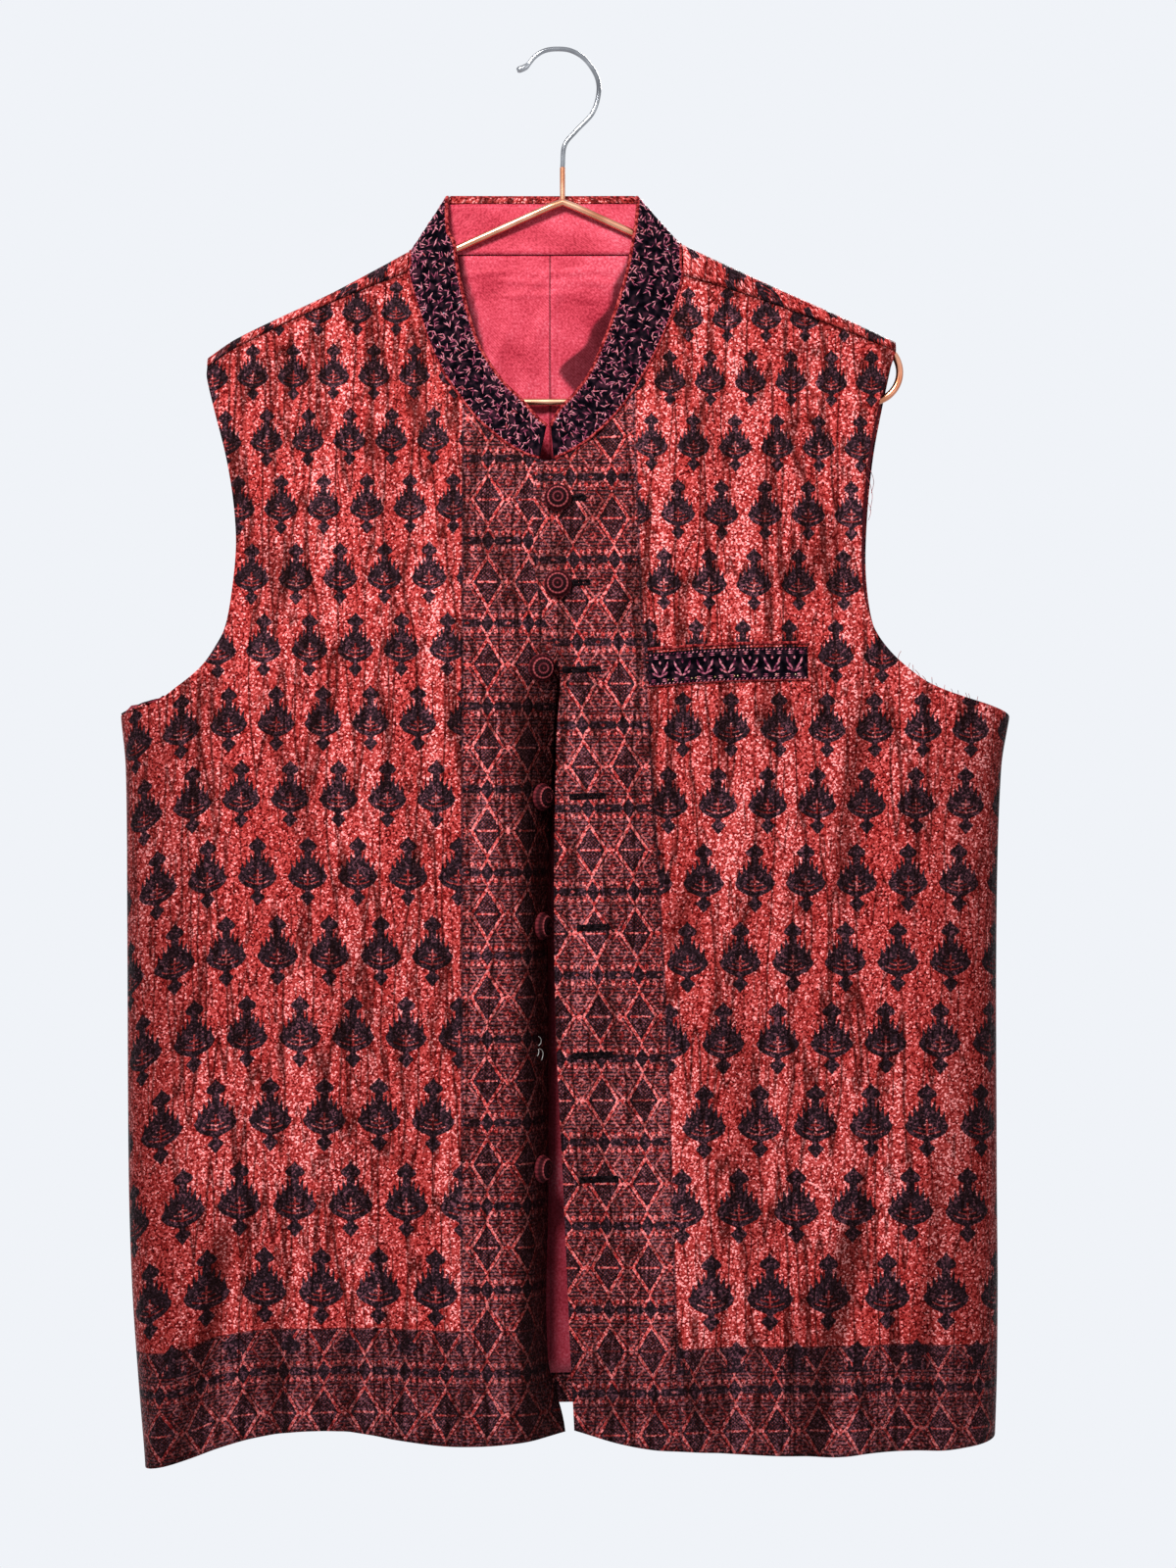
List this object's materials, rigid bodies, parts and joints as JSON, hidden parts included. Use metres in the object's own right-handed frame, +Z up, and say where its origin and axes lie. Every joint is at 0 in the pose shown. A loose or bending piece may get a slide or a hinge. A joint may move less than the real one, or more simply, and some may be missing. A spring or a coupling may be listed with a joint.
{
  "type": "band-collar waistcoat on a wire hanger",
  "caption": "Sleeveless brocade waistcoat with a stand-up band collar, chest pocket welt and front buttons, hung flat on a copper wire hanger with a chrome hook.",
  "frame": {"origin": "the underside of the hook's crown, where the hanger bears on its peg or rail", "axes": "+X to the viewer's right (the wearer's left), +Y from the front to the back, +Z up"},
  "size_m": [0.556, 0.0534, 0.8888],
  "materials": {
    "brocade": "crinkled metallic brocade, red ground with black motifs",
    "lining_satin": "smooth red satin",
    "embroidered_trim": "black cloth with short pink and gold stitches",
    "covered_button": "stitched dome",
    "copper_wire": "bright copper plate",
    "chrome_wire": "polished"
  },
  "bodies": {
    "root": {"right_front": "brocade", "left_front": "brocade", "back": "brocade", "back_lining": "lining_satin", "collar": "embroidered_trim", "collar_lining": "lining_satin", "pocket_welt": "embroidered_trim", "button_1": "covered_button", "button_2": "covered_button", "button_3": "covered_button", "button_4": "covered_button", "button_5": "covered_button", "button_7": "covered_button", "hanger_frame": "copper_wire", "hanger_hook": "chrome_wire"}
  },
  "joints": []
}
